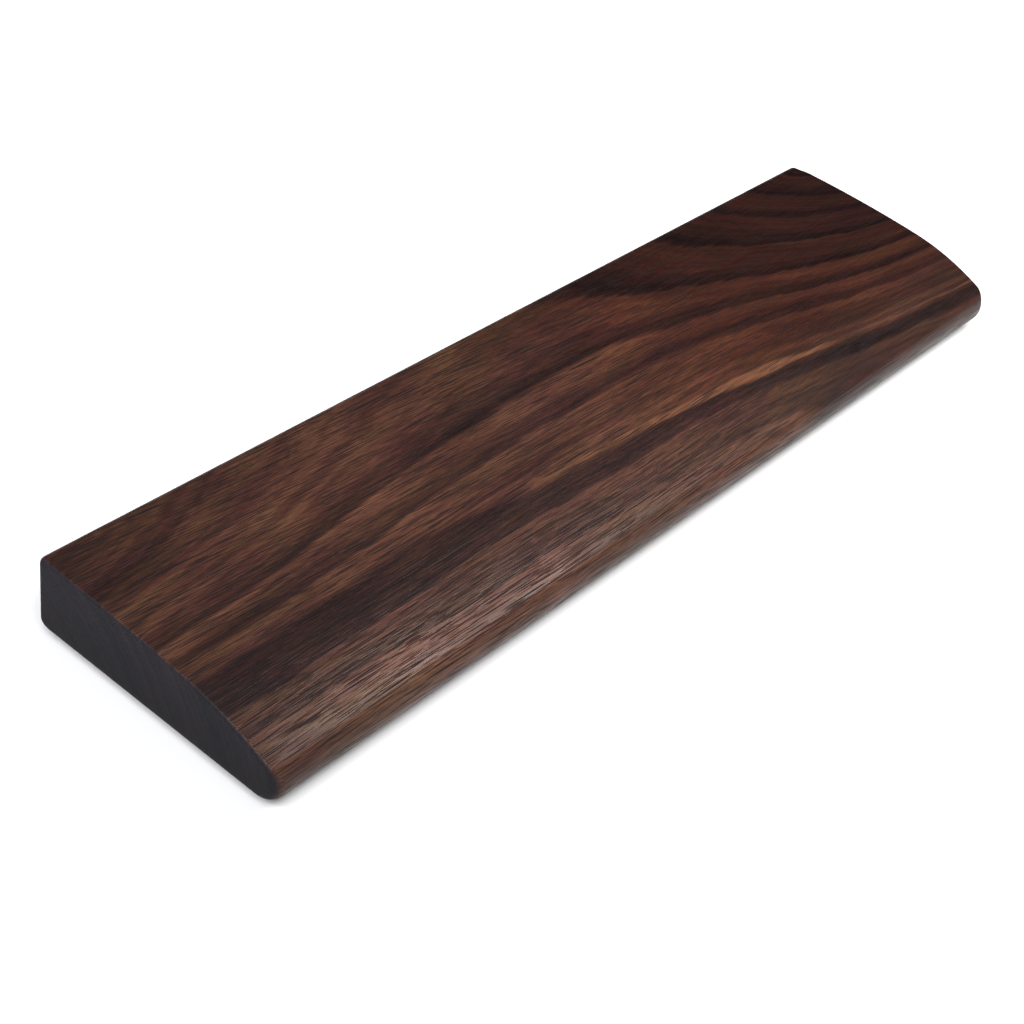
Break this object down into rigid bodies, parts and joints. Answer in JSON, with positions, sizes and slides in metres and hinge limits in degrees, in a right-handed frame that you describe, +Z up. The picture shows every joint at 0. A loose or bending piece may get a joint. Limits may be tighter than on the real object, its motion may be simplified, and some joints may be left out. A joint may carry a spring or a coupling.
{
  "type": "keyboard wrist rest",
  "caption": "Long low board of dark oiled walnut with a flat rear face, a gently crowned top and a rounded front, on round rubber feet; it supports the wrists in front of a compact keyboard.",
  "frame": {"origin": "on the surface that the rest stands on, under the middle of the board", "axes": "+X along the board's length, +Y from the user towards the keyboard, +Z up"},
  "size_m": [0.32, 0.081, 0.024],
  "materials": {
    "walnut": "dark walnut, oiled to a satin sheen",
    "foot_rubber": "matte black moulded rubber",
    "adhesive_pad": "thin double-sided acrylic pad"
  },
  "bodies": {
    "root": {"wood_body": "walnut", "rubber_foot_1": "foot_rubber", "rubber_foot_2": "foot_rubber", "rubber_foot_3": "foot_rubber", "rubber_foot_4": "foot_rubber", "rubber_foot_5": "foot_rubber", "rubber_foot_6": "foot_rubber", "foot_adhesive_1": "adhesive_pad", "foot_adhesive_2": "adhesive_pad", "foot_adhesive_3": "adhesive_pad", "foot_adhesive_4": "adhesive_pad", "foot_adhesive_5": "adhesive_pad", "foot_adhesive_6": "adhesive_pad"}
  },
  "joints": []
}
